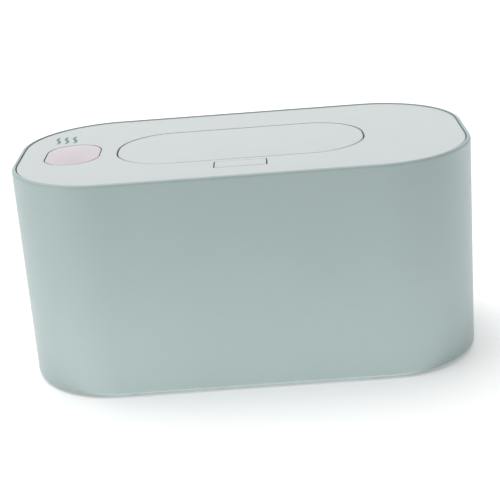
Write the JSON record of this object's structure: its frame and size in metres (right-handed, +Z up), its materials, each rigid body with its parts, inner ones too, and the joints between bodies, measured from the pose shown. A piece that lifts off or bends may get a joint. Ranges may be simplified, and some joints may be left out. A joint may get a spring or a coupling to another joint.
{
  "type": "baby wipe warmer",
  "caption": "Rounded box with a heated tank, lift-off cover, flush flip lid over a dispensing slot, press latch and oblong power button.",
  "frame": {"origin": "middle of the rectangle that the feet stand in, on the table", "axes": "+X along the length, with the power button on the -X side; +Y to the back, where the power inlet is; +Z up"},
  "size_m": [0.25, 0.1386, 0.1199],
  "materials": {
    "casing_plastic": "satin moulded plastic, pale sage green",
    "cover_plastic": "satin moulded plastic, very pale mint white",
    "button_plastic": "satin moulded plastic, pale pink",
    "inner_plastic": "smooth white moulded plastic",
    "grey_plastic": "moulded acetal, grey",
    "dark_plastic": "black moulded plastic",
    "light_pipe": "clear diffused resin",
    "soft_silicone": "soft translucent silicone",
    "foot_rubber": "grey rubber",
    "plated_steel": "bright plated steel",
    "plate_aluminium": "rolled aluminium",
    "film_polyimide": "amber film over etched tracks",
    "ceramic_body": "white ceramic body",
    "sensor_epoxy": "black epoxy bead",
    "felt_pad": "pressed fibre felt",
    "foam_wrap": "closed cell foam sheet",
    "circuit_board": "green solder mask",
    "lead_black": "black PVC lead",
    "lead_white": "pale silicone lead"
  },
  "bodies": {
    "base": {"outer_casing": "casing_plastic", "base_plate": "inner_plastic", "base_screws": "plated_steel", "foot_front_left": "foot_rubber", "foot_front_right": "foot_rubber", "foot_back_left": "foot_rubber", "foot_back_right": "foot_rubber", "inner_tank": "inner_plastic", "tank_screws": "plated_steel", "cover_gasket": "soft_silicone", "heat_plate": "plate_aluminium", "heating_film": "film_polyimide", "thermal_fuse": "ceramic_body", "temperature_sensor": "sensor_epoxy", "insulation_pad": "felt_pad", "insulation_wrap": "foam_wrap", "control_board": "circuit_board", "board_screws": "plated_steel", "tact_switch": "dark_plastic", "indicator_light": "light_pipe", "dc_socket": "dark_plastic", "socket_nut": "plated_steel", "power_lead": "lead_black", "heater_lead": "lead_white"},
    "switch_plunger": {"switch_plunger": "grey_plastic", "switch_key": "dark_plastic"},
    "top_cover": {"top_cover": "cover_plastic", "cover_liner": "inner_plastic", "liner_screws": "plated_steel", "dispensing_insert": "soft_silicone", "hinge_pins": "plated_steel", "lift_spring": "plated_steel", "latch_bracket": "grey_plastic", "bracket_screws": "plated_steel", "latch_spring": "plated_steel", "button_spring": "plated_steel"},
    "flip_lid": {"flip_lid": "cover_plastic", "lid_inner_panel": "inner_plastic", "lid_seal": "soft_silicone"},
    "latch_tab": {"latch_tab": "cover_plastic"},
    "latch_bolt": {"latch_bolt": "grey_plastic"},
    "power_button": {"power_button": "button_plastic", "button_clip": "plated_steel"}
  },
  "joints": [
    {"name": "cover_lift", "type": "slide", "parent": "base", "child": "top_cover", "axis": [0, 0, 1], "range_m": [0, 0.06]},
    {"name": "lid_hinge", "type": "hinge", "parent": "top_cover", "child": "flip_lid", "pos_m": [0, 0.0353, 0.1168], "axis": [-1, 0, 0], "range_deg": [0, 100]},
    {"name": "latch_press", "type": "hinge", "parent": "top_cover", "child": "latch_tab", "pos_m": [0, -0.0402, 0.1159], "axis": [1, 0, 0], "range_deg": [0, 6], "stiffness_Nm_per_rad": 0.0245, "springref_deg": -5.73, "deforming": ["latch_spring"]},
    {"name": "bolt_slide", "type": "slide", "parent": "top_cover", "child": "latch_bolt", "axis": [0, -1, 0], "range_m": [0, 0.00076]},
    {"name": "button_press", "type": "slide", "parent": "top_cover", "child": "power_button", "axis": [0, 0, -1], "range_m": [0, 0.0006], "stiffness_N_per_m": 600, "springref_m": -0.001, "deforming": ["button_spring"]},
    {"name": "plunger_slide", "type": "slide", "parent": "base", "child": "switch_plunger", "axis": [0, 0, -1], "range_m": [0, 0.0003]}
  ],
  "couplings": [
    {"joint": "latch_press", "follows": "bolt_slide", "rad_per_m": 136.9},
    {"joint": "plunger_slide", "follows": "button_press", "ratio": 0.5}
  ]
}
